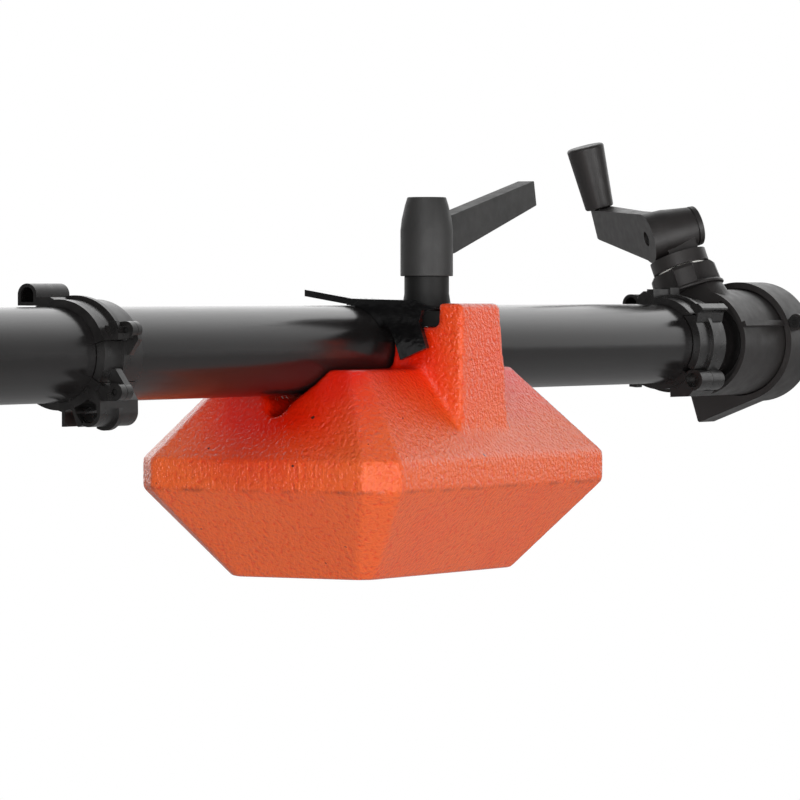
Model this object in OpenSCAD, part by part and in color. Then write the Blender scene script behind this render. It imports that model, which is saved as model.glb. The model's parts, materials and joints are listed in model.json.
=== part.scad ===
// Telescopic lighting boom with a counterweight, a lamp head tilted by a rear crank, and a stand socket.
// The frame: origin at the mouth of the stand socket, boom along X with its rear end at +X, Z up.

/* [Main tube] */
// Outer diameter of the main tube
tube_d = 40; // [36:1:44]
// Wall of the main tube
tube_wall = 2; // [1.5:0.1:2.5]
// From the tilt pivot to the front end of the main tube
tube_front = 300; // [260:5:400]
// How far the main tube runs past the front face of the control housing
tube_tail = 68; // [62:1:69]

/* [Front tube] */
// Outer diameter of the front tube
front_d = 32; // [28:1:33]
// Wall of the front tube
front_wall = 1.8; // [1.4:0.1:2.2]
// How far the front tube stands out of the main tube when pushed in
front_out = 80; // [70:1:120]
// Length of front tube that stays inside when pushed in
front_in = 440; // [300:10:460]
// Length of the nylon guide on the inner end of the front tube
guide_len = 30; // [20:1:40]

/* [Stand socket] */
// Bore of the stand socket, for a 28 mm stand pin
socket_bore = 28.8; // [28:0.1:29.2]
// Depth of the stand socket
socket_depth = 55; // [45:1:60]
// Wall round the stand socket
socket_wall = 9.6; // [7:0.1:12]
// Height of the tilt pivot over the mouth of the socket
pivot_z = 92; // [88:1:100]
// Thickness of each yoke cheek
cheek_t = 9; // [7:0.5:12]
// Radius of the rounded top of the cheeks
cheek_r = 19; // [16:0.5:19.5]
// Diameter of the pivot bolt
pivot_bolt_d = 12; // [10:0.5:14]
// Thickness of each friction disc
disc_t = 2.3; // [1.5:0.1:3]

/* [Tube clamp] */
// Length of the tube clamp along the boom
clamp_len = 80; // [60:1:90]
// Half width of the tube clamp over its flanges
clamp_half = 36; // [34:0.5:40]
// From the tilt pivot up to the tube axis
pivot_drop = 50; // [48:1:56]
// Width of the lug under the tube clamp
lug_w = 25.4; // [20:0.2:28]
// Radius of the lug round the pivot
lug_r = 16; // [13:0.5:17]
// Thickness of the clamp flanges
clamp_flange_t = 9; // [7:0.5:11]
// Diameter of the clamp screws
clamp_screw_d = 6; // [5:0.5:8]

/* [Counterweight] */
// Middle of the counterweight, behind the tilt pivot
weight_x = 474.8; // [440:0.2:520]
// Length of the counterweight at its widest band
weight_len = 214; // [190:1:230]
// Width of the counterweight at its widest band
weight_w = 134; // [126:1:144]
// Length of the top face
weight_top_len = 143; // [120:1:160]
// Width of the top face
weight_top_w = 70; // [66:1:80]
// Length of the bottom face
weight_base_len = 137; // [110:1:160]
// Width of the bottom face
weight_base_w = 74; // [50:1:90]
// From the tube axis down to the top face
weight_top_z = 8.5; // [6:0.5:12]
// From the tube axis down to the upper edge of the band
band_top_z = 48.3; // [44:0.1:54]
// Height of the band
band_h = 13.4; // [8:0.1:18]
// From the tube axis down to the bottom face
weight_base_z = 102; // [90:1:115]
// Shift of the top and bottom faces toward the front
face_shift = 3.6; // [0:0.2:6]
// Corner cut at the band
band_cut = 12.3; // [8:0.1:16]
// Corner cut at the top and bottom faces
face_cut = 5.4; // [3:0.1:8]
// Radius of the relief groove at the bottom of the trough
trough_r = 4.8; // [4.2:0.1:6]
// From the tube axis down to the middle of the relief groove
trough_z = 24.6; // [24:0.1:26]

/* [Weight clamp] */
// Length of the clamp lug along the boom
wlug_len = 42; // [36:1:50]
// From the tube axis to the outer face of the lug, at its top
wlug_out = 55; // [53:0.5:58]
// Thickness of the upright wall of the lug
wlug_wall = 12; // [9:0.5:14]
// Top of the lug over the tube axis
wlug_top = 21; // [19:0.5:24]
// Ledge of the lug over the tube axis
ledge_z = 10.3; // [9:0.1:12]
// Width of the ledge
ledge_w = 8; // [6:0.5:10]
// Sideways offset of the lever from the tube axis
stud_y = 26; // [25.5:0.1:27]
// Diameter of the lever studs
stud_d = 12; // [10:0.5:12]
// Thickness of the clamp bar
jaw_t = 7; // [6:0.5:8]
// Thickness of the saddle plate
saddle_t = 3; // [2.5:0.1:3.5]
// Rise of the saddle plate's tongue from level, degrees
tongue_rise = 11.8; // [8:0.2:14]
// Reach of the tongue past the tube axis
tongue_reach = 24; // [18:0.5:28]

/* [Clamping levers] */
// Hub diameter of a clamping lever
hub_d = 24; // [22:0.5:26]
// Hub height of a clamping lever
hub_h = 36; // [32:0.5:40]
// Diameter of the hub's top
hub_top_d = 17.6; // [15:0.2:20]
// Arm length of a clamping lever, from its axis to its tip
arm_len = 97; // [80:1:110]
// Arm thickness of a clamping lever
arm_t = 8.8; // [7:0.2:10]
// Height of the steel collar under the hub
collar_h = 10; // [8:0.5:12]

/* [Cable clips] */
// Front face of the front clip, behind the tilt pivot
clip_front_x = 210; // [180:1:240]
// Gap between the rear clip and the control housing
clip_gap = 16; // [8:1:40]
// Length of a clip along the boom
clip_len = 29; // [27:0.5:34]
// Wall of a clip's band
clip_t = 3.1; // [2.6:0.1:3.4]
// Extra wall of a clip on its latch side
clip_side = 1.1; // [0.6:0.1:1.2]
// Height of the rib round a clip
clip_step = 1.7; // [1:0.1:1.8]
// Radius of a clip knuckle
knuckle_r = 3.7; // [3:0.1:3.8]
// Radius of the rear clip's hinge roller
hinge_r = 5.3; // [4.6:0.1:5.5]
// Diameter of the clip pins
clip_pin_d = 2.8; // [2:0.1:3]
// Outer radius of the cable roller
hook_r = 4.65; // [4.5:0.05:5]
// Wall of the cable hooks
hook_t = 1.5; // [1.4:0.1:1.8]
// Bore radius of the cable hook
bowl_r = 4.4; // [4.2:0.1:4.6]

/* [Rear unit] */
// Front face of the control housing, behind the tilt pivot
housing_x = 800; // [790:1:805]
// Outer radius of the control housing's sleeve
housing_r = 27.2; // [26:0.1:28]
// Length of the sleeve in front of the end cap
sleeve_len = 45.5; // [40:0.5:50]
// Outer radius of the end cap
cap_r = 31; // [30.5:0.1:34]
// Wall of the end cap
cap_wall = 3.2; // [2:0.1:3.4]
// Length of the end cap
cap_len = 30; // [26:0.5:40]
// Length of the cap's foot along the boom
foot_len = 17; // [12:0.5:24]
// Turn of the rear unit about the tube, degrees
unit_roll = 20.6; // [10:0.2:30]
// From the housing's front face to the crank shaft
shaft_x = 9.6; // [9:0.1:14]
// Diameter of the crank shaft
shaft_d = 10; // [8:0.5:10]

/* [Crank] */
// From the tube axis to the fold pivot of the crank
crank_h = 60.3; // [58:0.1:66]
// Radius of the hub collar
crank_collar_r = 14.7; // [13:0.1:16]
// Thickness of the hub collar
crank_collar_t = 6.5; // [4:0.1:6.6]
// Radius of the pivot barrel
barrel_r = 13; // [12:0.1:14]
// Radius of the arm's disc
arm_disc_r = 12.8; // [12:0.1:13]
// From the shaft axis to the outer face of the arm
arm_face = 12.9; // [12:0.1:15]
// Thickness of the arm's disc
arm_disc_t = 6.4; // [5:0.1:7]
// Length of the crank arm from pivot to end
crank_len = 88; // [70:1:100]
// Thickness of the crank arm at its end
arm_end_t = 10.6; // [9:0.1:13]
// Height of the crank arm at its end
arm_end_h = 15.9; // [12:0.1:18]
// Turn of the crank about its shaft, degrees
crank_turn = 43.6; // [20:0.2:70]
// Rise of the crank arm about its fold pivot, degrees
crank_fold = 16; // [0:0.5:30]
// Length of the crank grip
grip_len = 33.8; // [28:0.2:60]
// Diameter of the grip at its base
grip_base_d = 15; // [13:0.2:17]
// Diameter of the grip at its top
grip_top_d = 19.8; // [17:0.2:23]
// Wall of the control housing round its open front
shell_t = 2; // [1.6:0.1:3]
// Radius of the locking knob at its lobes
knob_r = 17.6; // [16:0.1:18.5]

/* [Drive and lamp head] */
// Size of the hexagonal drive rod across its corners
rod_d = 9; // [8:0.1:10]
// Outer diameter of the drive sleeve
drive_sleeve_d = 16; // [14:0.5:18]
// Module of the worm gear
worm_m = 2; // [1.8:0.05:2.1]
// Teeth of the worm wheel
wheel_teeth = 20; // [18:1:21]
// Pitch radius of the worm
worm_r = 7; // [6.5:0.1:7.5]
// Teeth of each mitre gear
mitre_teeth = 16; // [14:1:18]
// Module of the mitre gears
mitre_m = 1.5; // [1.3:0.05:1.55]
// From the front tube's end to the lamp tilt axis
head_reach = 32; // [30:0.5:40]
// Wall of the lamp head shells
head_wall = 4; // [3:0.5:5]
// Diameter of the lamp spigot, five eighths of an inch
spigot_d = 15.88; // [15.5:0.01:16]
// Length of the lamp spigot
spigot_len = 40; // [35:1:50]

/* [Hidden] */
$fn = 64;

// Clearances: a running fit, a fixed fit, and the gap between neighbours that never touch
run = 0.05;
snug = 0.02;
gap = 0.3;
// A cutter reaches this far past what it cuts
over = 1;

// Tubes
tube_r = tube_d / 2;
tube_ir = tube_r - tube_wall;
front_r = front_d / 2;
front_ir = front_r - front_wall;
zt = pivot_z + pivot_drop;
front_x = -tube_front - front_out;
inner_x = -tube_front + front_in;

// Stand head
socket_r = socket_bore / 2 + socket_wall;
socket_top = socket_depth + 7;
yoke_in = lug_w / 2 + disc_t;
yoke_out = yoke_in + cheek_t;
bolt_r = pivot_bolt_d / 2;
washer_t = 2;
knob_z = socket_depth * 0.55;
knob_boss_r = 9;
knob_boss = socket_r + 7;
hand_screw_r = 5;
hand_knob_r = 17;
hand_knob_h = 11;

// Tube clamp
clamp_z0 = pivot_z + cheek_r + 1;
clamp_body = tube_r + 5;
clamp_split = 0.5;
clamp_ring_r = tube_r + 6.5;
clamp_y = clamp_half - 5.2;
clamp_sx = clamp_len / 2 - 12;
clamp_sr = clamp_screw_d / 2;

// Levers
stud_r = stud_d / 2;
hub_r = hub_d / 2;
insert_r = 10.2;
bar_z = ledge_z + 0.1;
bar_top = bar_z + jaw_t;
lever_z = bar_top + collar_h + 5.9;
lug_flare = 3.8;
lug_draft = 2.2;
stud_deep = 24;
lever_washer_t = 1.4;

// Weight
band_bot_z = band_top_z + band_h;
rest_r = tube_r + gap;
lug_x0 = weight_x - wlug_len / 2;
saddle_ri = tube_r + 0.15;
saddle_ro = saddle_ri + saddle_t;
toe_a = 50;

// Rear unit
tube_rear = housing_x + tube_tail;
clip_rear_x = housing_x - clip_gap - clip_len;
crank_x = housing_x + shaft_x;
cap_x = housing_x + sleeve_len;
cap_plate = 5;
housing_end = cap_x + cap_len - cap_plate;
shaft_r = shaft_d / 2 - run;
bush_r = shaft_d / 2 + 2;
boss_r = bush_r + 2;
boss_top = 34;
knob_base = housing_r + 0.4;
knob_top = 40;
knob_flange = 1.8;
valley_r = 11;
valley_a = 73;
washer_h = 0.6;
collar_s0 = knob_top + washer_h + 0.1;
cap_screw_r = 1.6;

// Drive
rod_r = rod_d / 2;
sleeve_r = drive_sleeve_d / 2;
mitre_r = mitre_teeth * mitre_m / 2;
gear_back = crank_x - mitre_r;
head_x = front_x - head_reach;
wheel_r = wheel_teeth * worm_m / 2;
head_z = zt - worm_r - wheel_r;
worm_pitch = PI * worm_m;
worm_x0 = head_x - 12;
worm_x1 = head_x + 12;
worm_top = worm_r + worm_m;
worm_core = worm_r - 1.2 * worm_m;
shell_r = front_r + 5;
shell_x0 = head_x - 28;
shell_x1 = front_x + 28;
wheel_out = wheel_r + worm_m;
case_r = wheel_out + 0.6 + head_wall + 1.4;
case_y = 15;
shell_cut = 2 * case_r;
cavity_y = 7;
tilt_r = 5;
fork_y = case_y + 2;
fork_t = 5;
fork_drop = case_r + 6;
fork_bridge = 8;

// Frames: along the tube with (Y, Z) as the drawing plane, and the rolled rear unit
module along(x) {
    translate([x, 0, zt])
        rotate([90, 0, 90])
            children();
}
module rolled() {
    translate([crank_x, 0, zt])
        rotate([-unit_roll, 0, 0])
            children();
}
module crank_frame() {
    rolled()
        translate([0, 0, crank_h])
            rotate([0, 0, crank_turn])
                children();
}
module fold_frame() {
    crank_frame()
        rotate([0, -crank_fold, 0])
            children();
}

module ring(ro, ri, h) {
    difference() {
        cylinder(r = ro, h = h);
        translate([0, 0, -over])
            cylinder(r = ri, h = h + 2 * over);
    }
}
module arc(ro, ri, h, a0, a1) {
    rotate([0, 0, a0])
        rotate_extrude(angle = a1 - a0)
            translate([ri, 0])
                square([ro - ri, h]);
}
module box(x, y, z) {
    translate([x[0], y[0], z[0]])
        cube([x[1] - x[0], y[1] - y[0], z[1] - z[0]]);
}
// A plate drawn in (Y, Z) and standing along X
module plate(x, h, pts) {
    along(x)
        linear_extrude(h)
            polygon(pts);
}
module socket_screw(r, grip, head_r, head_h) {
    translate([0, 0, -grip])
        cylinder(r = r, h = grip + over / 2);
    difference() {
        cylinder(r = head_r, h = head_h);
        translate([0, 0, head_h / 2])
            cylinder(r = head_r / 2, h = head_h, $fn = 6);
    }
}
module hex_nut(r, bore, h) {
    difference() {
        cylinder(r = r, h = h, $fn = 6);
        translate([0, 0, -over])
            cylinder(r = bore, h = h + 2 * over);
    }
}
// A hand knob with five lobes, standing on its stud
module star_knob(r, h, stud_len) {
    lobe = r * 0.42;
    translate([0, 0, -stud_len])
        cylinder(r = hand_screw_r, h = stud_len + over);
    cylinder(r = r * 0.5, h = h);
    translate([0, 0, 2])
        difference() {
            cylinder(r = r, h = h - 2);
            for (k = [0 : 4])
                rotate([0, 0, 72 * k])
                    translate([r * 1.12, 0, -over])
                        cylinder(r = lobe, h = h);
        }
}
// Clamping lever, on its axis: steel insert below, hub and rising arm above
module lever_hub() {
    difference() {
        union() {
            rotate_extrude()
                polygon([[0, 0], [hub_r, 0], [hub_r, hub_h * 0.58], [hub_r - 0.6, hub_h * 0.72],
                    [hub_top_d / 2 + 1.2, hub_h * 0.89], [hub_top_d / 2, hub_h], [0, hub_h]]);
            rotate([90, 0, 0])
                translate([0, 0, -arm_t / 2])
                    linear_extrude(arm_t)
                        polygon([[0, hub_h * 0.2], [hub_r + 6.9, hub_h * 0.295], [arm_len, hub_h * 0.93],
                            [arm_len - 2.5, hub_h * 1.25], [hub_r + 7.8, hub_h * 0.8],
                            [hub_r + 3, hub_h * 0.775], [0, hub_h * 0.86]]);
        }
        translate([0, 0, -over])
            cylinder(r = insert_r - 2, h = over + stud_deep - collar_h + 2);
    }
}
module lever_insert(drop) {
    difference() {
        union() {
            translate([0, 0, -drop])
                rotate_extrude()
                    polygon([[0, 0], [insert_r + 0.9, 0], [insert_r + 0.9, drop * 0.08],
                        [insert_r, drop * 0.45], [insert_r, drop], [0, drop]]);
            cylinder(r = insert_r - 2 - snug, h = stud_deep - collar_h + 1.5);
        }
        translate([0, 0, -drop - over])
            cylinder(r = stud_r + run, h = drop + over + stud_deep - collar_h);
    }
}

// Stand head
module stand_socket() {
    color("dimgray")
        difference() {
            union() {
                cylinder(r = socket_r, h = socket_top);
                for (s = [-1, 1]) {
                    translate([0, s * (yoke_in + cheek_t / 2), pivot_z])
                        rotate([90, 0, 0])
                            cylinder(r = cheek_r, h = cheek_t, center = true);
                    box([-cheek_r, cheek_r], s > 0 ? [yoke_in, yoke_out] : [-yoke_out, -yoke_in],
                        [socket_top - 12, pivot_z]);
                }
                translate([0, 0, knob_z])
                    rotate([-90, 0, 0])
                        cylinder(r = knob_boss_r, h = knob_boss);
            }
            translate([0, 0, -over])
                cylinder(r = socket_bore / 2, h = socket_depth + over);
            box([-socket_r - over, socket_r + over], [-yoke_in, yoke_in], [socket_top, pivot_z]);
            translate([0, 0, knob_z])
                rotate([-90, 0, 0])
                    cylinder(r = hand_screw_r + run, h = knob_boss + over);
            translate([0, 0, pivot_z])
                rotate([90, 0, 0])
                    cylinder(r = bolt_r + snug, h = 4 * yoke_out, center = true);
        }
}
module socket_knob() {
    color("black")
        translate([0, knob_boss + gap, knob_z])
            rotate([-90, 0, 0])
                star_knob(hand_knob_r, hand_knob_h, knob_boss - socket_bore / 2 - 1);
}
module pivot_bolt() {
    color("silver")
        translate([0, 0, pivot_z]) {
            rotate([90, 0, 0])
                translate([0, 0, -yoke_out - washer_t - stud_deep + 1])
                    cylinder(r = bolt_r, h = 2 * yoke_out + 2 * washer_t + stud_deep);
            translate([0, -yoke_out, 0])
                rotate([90, 0, 0]) {
                    ring(bolt_r * 2, bolt_r - snug, washer_t);
                    translate([0, 0, washer_t])
                        cylinder(r = bolt_r * 1.75, h = bolt_r * 1.3, $fn = 6);
                }
            translate([0, yoke_out + washer_t, 0])
                rotate([90, 0, 0])
                    ring(bolt_r * 2, bolt_r - snug, washer_t);
        }
}
module friction_discs() {
    color("tan")
        for (y = [lug_w / 2, -yoke_in])
            translate([0, y + disc_t, pivot_z])
                rotate([90, 0, 0])
                    ring(lug_r, bolt_r + snug, disc_t);
}
module tilt_lever_at() {
    translate([0, yoke_out + washer_t + collar_h, pivot_z])
        rotate([-90, 0, 0])
            children();
}
module tilt_lever() {
    color("dimgray") tilt_lever_at() lever_hub();
}
module tilt_lever_insert() {
    color("silver") tilt_lever_at() lever_insert(collar_h);
}

// Tube clamp
module clamp_holes() {
    for (x = [-1, 1], y = [-1, 1])
        translate([x * clamp_sx, y * clamp_y, clamp_z0 - over])
            cylinder(r = clamp_sr + snug, h = 3 * clamp_body);
    translate([-clamp_len, 0, zt])
        rotate([0, 90, 0])
            cylinder(r = tube_r + snug, h = 2 * clamp_len);
}
module clamp_lower() {
    color("dimgray")
        difference() {
            union() {
                box([-clamp_len / 2, clamp_len / 2], [-clamp_body, clamp_body], [clamp_z0, zt - clamp_split]);
                box([-clamp_len / 2, clamp_len / 2], [-clamp_half, clamp_half],
                    [zt - clamp_split - clamp_flange_t, zt - clamp_split]);
                box([-lug_r, lug_r], [-lug_w / 2, lug_w / 2], [pivot_z, clamp_z0 + over]);
                translate([0, 0, pivot_z])
                    rotate([90, 0, 0])
                        cylinder(r = lug_r, h = lug_w, center = true);
            }
            clamp_holes();
            translate([0, 0, pivot_z])
                rotate([90, 0, 0])
                    cylinder(r = bolt_r + run, h = 2 * yoke_out, center = true);
        }
}
module clamp_upper() {
    color("dimgray")
        difference() {
            union() {
                intersection() {
                    along(-clamp_len / 2)
                        cylinder(r = clamp_ring_r, h = clamp_len);
                    box([-clamp_len, clamp_len], [-clamp_half, clamp_half],
                        [zt + clamp_split, zt + 2 * clamp_ring_r]);
                }
                box([-clamp_len / 2, clamp_len / 2], [-clamp_half, clamp_half],
                    [zt + clamp_split, zt + clamp_split + clamp_flange_t]);
            }
            clamp_holes();
        }
}
module clamp_screws() {
    color("silver")
        for (x = [-1, 1], y = [-1, 1])
            translate([x * clamp_sx, y * clamp_y, 0]) {
                translate([0, 0, zt + clamp_split + clamp_flange_t])
                    socket_screw(clamp_sr, 2 * clamp_flange_t + 2 * clamp_split + clamp_screw_d,
                        clamp_screw_d * 0.82, clamp_screw_d);
                translate([0, 0, zt - clamp_split - clamp_flange_t - clamp_screw_d * 0.8])
                    hex_nut(clamp_screw_d * 0.82, clamp_sr - snug, clamp_screw_d * 0.8);
            }
}

// Tubes
module main_tube() {
    color([0.13, 0.12, 0.13])
        difference() {
            along(-tube_front)
                cylinder(r = tube_r, h = tube_front + tube_rear);
            along(-tube_front - over)
                cylinder(r = tube_ir, h = tube_front + tube_rear + 2 * over);
            rolled()
                cylinder(r = bush_r + 1, h = 2 * tube_r);
        }
}
module front_bush() {
    color("white")
        along(-tube_front)
            ring(tube_ir - snug, front_r + run, guide_len);
}
module front_tube() {
    color([0.2, 0.2, 0.21])
        along(front_x)
            ring(front_r, front_ir, inner_x - front_x);
}
module guide_bush() {
    color("white")
        along(inner_x - guide_len)
            ring(tube_ir - run, front_r + snug, guide_len);
}
lock_x = -tube_front - 12;
module extension_collar() {
    color("black")
        difference() {
            union() {
                along(-tube_front - 25)
                    cylinder(r = tube_r + 6, h = 60);
                translate([lock_x, 0, zt])
                    rotate([-90, 0, 0])
                        cylinder(r = knob_boss_r + 1, h = tube_r + 14);
            }
            along(-tube_front)
                cylinder(r = tube_r + snug, h = 60);
            along(-tube_front - 26)
                cylinder(r = front_r + gap, h = 27);
            translate([lock_x, 0, zt])
                rotate([-90, 0, 0])
                    cylinder(r = hand_screw_r + run, h = 3 * tube_r);
            for (a = [0, 120, 240])
                along(-tube_front + 22)
                    rotate([0, 0, a])
                        rotate([90, 0, 0])
                            translate([0, 0, tube_r - over])
                                cylinder(r = 2 + snug, h = 10);
        }
}
module collar_screws() {
    color("silver")
        for (a = [0, 120, 240])
            along(-tube_front + 22)
                rotate([0, 0, a])
                    rotate([90, 0, 0])
                        translate([0, 0, tube_r + 0.1])
                            cylinder(r = 2, h = 5.4);
}
module extension_knob() {
    color("black")
        translate([lock_x, tube_r + 14 + gap, zt])
            rotate([-90, 0, 0])
                star_knob(hand_knob_r, hand_knob_h, tube_r + 14 - front_r - 6.5);
}
module brake_pad() {
    color("tan")
        difference() {
            translate([lock_x, front_r - 3, zt])
                rotate([-90, 0, 0])
                    cylinder(r = hand_screw_r - run, h = 9.3);
            along(lock_x - 10)
                cylinder(r = front_r + run, h = 20);
        }
}

// Drive along the tube
bearing_x = [(inner_x + gear_back) / 2, gear_back - 36];
module drive_rod() {
    color("silver")
        along(front_x + 50)
            cylinder(r = rod_r, h = gear_back - front_x - 50, $fn = 6);
}
module rod_bearings() {
    color("white")
        for (x = bearing_x)
            along(x)
                ring(tube_ir - snug, rod_r + 2 * run, 12);
}
// One mitre gear with its large end at its own foot, running up toward the apex
module mitre(turn) {
    tooth = 360 / mitre_teeth;
    root = mitre_r - 0.75 * mitre_m;
    tip = mitre_r + 0.6 * mitre_m;
    rotate([0, 0, turn])
        linear_extrude(height = 4.5, scale = (mitre_r - 4.5) / mitre_r)
            polygon([for (k = [0 : mitre_teeth - 1], q = [[-0.36, root], [-0.14, tip], [0.14, tip],
                [0.36, root]]) q[1] * [cos((k + q[0]) * tooth), sin((k + q[0]) * tooth)]]);
}
module rod_gear() {
    color("silver")
        rolled()
            translate([gear_back - crank_x, 0, 0])
            rotate([90, 0, 90])
            difference() {
                union() {
                    mitre(0);
                    translate([0, 0, -8])
                        cylinder(r = mitre_r * 0.62, h = 8.5);
                }
                translate([0, 0, -8 - over])
                    cylinder(r = rod_r + snug, h = 8 + over);
            }
}
module drive_sleeve() {
    color("silver")
        difference() {
            union() {
                along(worm_x1 + 5)
                    cylinder(r = sleeve_r, h = inner_x - 20 - worm_x1 - 5);
                along(shell_x0 + 4)
                    cylinder(r = worm_core, h = worm_x1 + 6 - shell_x0 - 4);
            }
            along(worm_x1 + 10)
                cylinder(r = rod_r + gap, h = inner_x - worm_x1, $fn = 6);
        }
}
module sleeve_bush() {
    color("white")
        along(inner_x - guide_len - 10)
            ring(front_ir - snug, sleeve_r + run, 20);
}

// Lamp head
turn_steps = 20;
worm_len = worm_x1 - worm_x0;
worm_n = round(worm_len / worm_pitch * turn_steps);
function worm_pt(k, q) = [for (a = [360 * k / turn_steps])
    [q[0] * cos(a), q[0] * sin(a), worm_len * k / worm_n + q[1]]][0];
module worm_thread() {
    foot = (worm_core + snug) / cos(180 / turn_steps);
    prof = [[foot, -1.5], [worm_top, -0.6], [worm_top, 0.6], [foot, 1.5]];
    pts = [for (k = [0 : worm_n], q = prof) worm_pt(k, q)];
    sides = [for (k = [0 : worm_n - 1], j = [0 : 3])
        each [[4 * k + j, 4 * k + (j + 1) % 4, 4 * k + 4 + (j + 1) % 4],
            [4 * k + j, 4 * k + 4 + (j + 1) % 4, 4 * k + 4 + j]]];
    n = 4 * worm_n;
    color("darkgoldenrod")
        along(worm_x0)
            polyhedron(points = pts, faces = concat(sides,
                [[3, 2, 1], [3, 1, 0], [n, n + 1, n + 2], [n, n + 2, n + 3]]));
}
// Where the thread crosses the wheel's top, measured from the tilt axis
thread_at = 0.75 * worm_pitch - worm_len / 2
    + worm_pitch * round((worm_len / 2 - 0.75 * worm_pitch) / worm_pitch);
module worm_wheel() {
    tooth = 360 / wheel_teeth;
    root = wheel_r - 1.2 * worm_m;
    color("silver")
        translate([head_x, 0, head_z])
            rotate([90, 0, 0])
                difference() {
                    union() {
                        translate([0, 0, -3])
                            rotate([0, 0, 90 + tooth / 2 - thread_at / wheel_r * 180 / PI])
                                linear_extrude(6)
                                    polygon([for (k = [0 : wheel_teeth - 1], q = [[-0.25, root],
                                        [-0.11, wheel_out - 0.4], [0.11, wheel_out - 0.4], [0.25, root]])
                                        q[1] * [cos((k + q[0]) * tooth), sin((k + q[0]) * tooth)]]);
                        translate([0, 0, -6])
                            cylinder(r = tilt_r * 1.9, h = 12);
                    }
                    translate([0, 0, -10])
                        cylinder(r = tilt_r + snug, h = 20);
                }
}
module tilt_shaft() {
    color("silver")
        translate([head_x, 0, head_z])
            rotate([90, 0, 0]) {
                cylinder(r = tilt_r, h = 2 * (fork_y + fork_t), center = true);
                for (m = [0, 1])
                    mirror([0, 0, m])
                        translate([0, 0, fork_y + fork_t])
                            cylinder(r = tilt_r * 1.5, h = 3);
            }
}
head_screw_at = [for (a = [-25, -90, -155]) [head_x + (case_r - 3) * cos(a), head_z + (case_r - 3) * sin(a)],
    [head_x - 8, zt + worm_top + 5.6], [head_x + 9, zt + worm_top + 5.6]];
module head_body() {
    difference() {
        union() {
            translate([head_x, 0, head_z])
                rotate([90, 0, 0])
                    cylinder(r = case_r, h = 2 * case_y, center = true);
            along(shell_x0)
                cylinder(r = shell_r, h = shell_x1 - shell_x0);
        }
        translate([head_x, 0, head_z])
            rotate([90, 0, 0]) {
                cylinder(r = wheel_out + 0.6, h = 2 * cavity_y, center = true);
                cylinder(r = tilt_r + run, h = 4 * case_y, center = true);
            }
        along(worm_x0 - 3)
            cylinder(r = worm_top + 0.8, h = worm_len + 6);
        along(shell_x0 + 3)
            cylinder(r = worm_core + run, h = worm_len);
        along(worm_x1)
            cylinder(r = sleeve_r + run, h = front_x - worm_x1 + over);
        along(front_x)
            cylinder(r = front_r + snug, h = 30);
        for (q = head_screw_at)
            translate([q[0], 0, q[1]])
                rotate([90, 0, 0]) {
                    cylinder(r = 1.5 + snug, h = 4 * case_y, center = true);
                    translate([0, 0, case_y - 4])
                        cylinder(r = 3 + snug, h = 20);
                }
    }
}
module head_shell_left() {
    color("dimgray")
        difference() {
            head_body();
            box([shell_x0 - over, shell_x1 + over], [0, shell_cut], [head_z - shell_cut, zt + shell_cut]);
        }
}
module head_shell_right() {
    color("dimgray")
        difference() {
            head_body();
            box([shell_x0 - over, shell_x1 + over], [-shell_cut, 0], [head_z - shell_cut, zt + shell_cut]);
        }
}
module head_screws() {
    color("silver")
        for (q = head_screw_at)
            translate([q[0], -case_y + 4, q[1]])
                rotate([90, 0, 0])
                    socket_screw(1.5, 2 * case_y - 8, 2.9, 2);
}
module tilt_fork() {
    color("dimgray")
        translate([head_x, 0, head_z])
            difference() {
                union() {
                    for (s = [-1, 1]) {
                        translate([0, s * (fork_y + fork_t / 2), 0])
                            rotate([90, 0, 0])
                                cylinder(r = 10, h = fork_t, center = true);
                        box([-10, 10], s > 0 ? [fork_y, fork_y + fork_t] : [-fork_y - fork_t, -fork_y],
                            [-fork_drop - fork_bridge, 0]);
                    }
                    box([-10, 10], [-fork_y - over, fork_y + over], [-fork_drop - fork_bridge, -fork_drop]);
                }
                rotate([90, 0, 0])
                    cylinder(r = tilt_r + snug, h = 4 * fork_y, center = true);
                translate([0, 0, -2 * fork_drop])
                    cylinder(r = tilt_r + snug, h = 2 * fork_drop - over * 5);
            }
}
module lamp_spigot() {
    z0 = head_z - fork_drop - fork_bridge;
    color("silver")
        translate([head_x, 0, z0]) {
            rotate_extrude()
                polygon([[0, -spigot_len], [spigot_d / 2 - 1, -spigot_len], [spigot_d / 2, 1 - spigot_len],
                    [spigot_d / 2, 0], [tilt_r, 0], [tilt_r, fork_bridge + 4], [0, fork_bridge + 4]]);
            translate([0, 0, fork_bridge])
                hex_nut(8, tilt_r - snug, 4);
        }
}

// Cable clips, drawn round the tube axis at the front face of the clip
upper_pin = [-27.8, 10.4];
lower_pin = [-27.5, -15.2];
hinge_pin = [-19.4, -18.2];
pin_r = clip_pin_d / 2;
band_r = tube_r + clip_t;
rib_x = clip_len * 0.41;
rib_w = 3;
bowl_o = bowl_r + hook_t;
roller_at = [14.6, tube_r + 5.1];
bowl_at = [-15.8, -tube_r - 3.9];
arch_at = [-6.2, -tube_r - 4.3];
arch_r = 3.5;
// The latch parts from the band along a circle round its own pin
front_seam = 21.4;
rear_seam = 32.5;
latch_from = 208.5;
rear_latch_from = 216;
module knuckle(at, x, h, bore) {
    translate([at[0], at[1], x])
        ring(knuckle_r, bore, h);
}
module band_part(a0, a1) {
    translate([-clip_side, 0, 0]) {
        arc(band_r, tube_r - 2, clip_len, a0, a1);
        translate([0, 0, rib_x])
            arc(band_r + clip_step, tube_r - 2, rib_w, a0, a1);
    }
}
module slab(x, h, pts) {
    translate([0, 0, x])
        linear_extrude(h)
            polygon(pts);
}
module through(at, r) {
    translate([at[0], at[1], -over])
        cylinder(r = r, h = clip_len + 2 * over);
}
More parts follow.
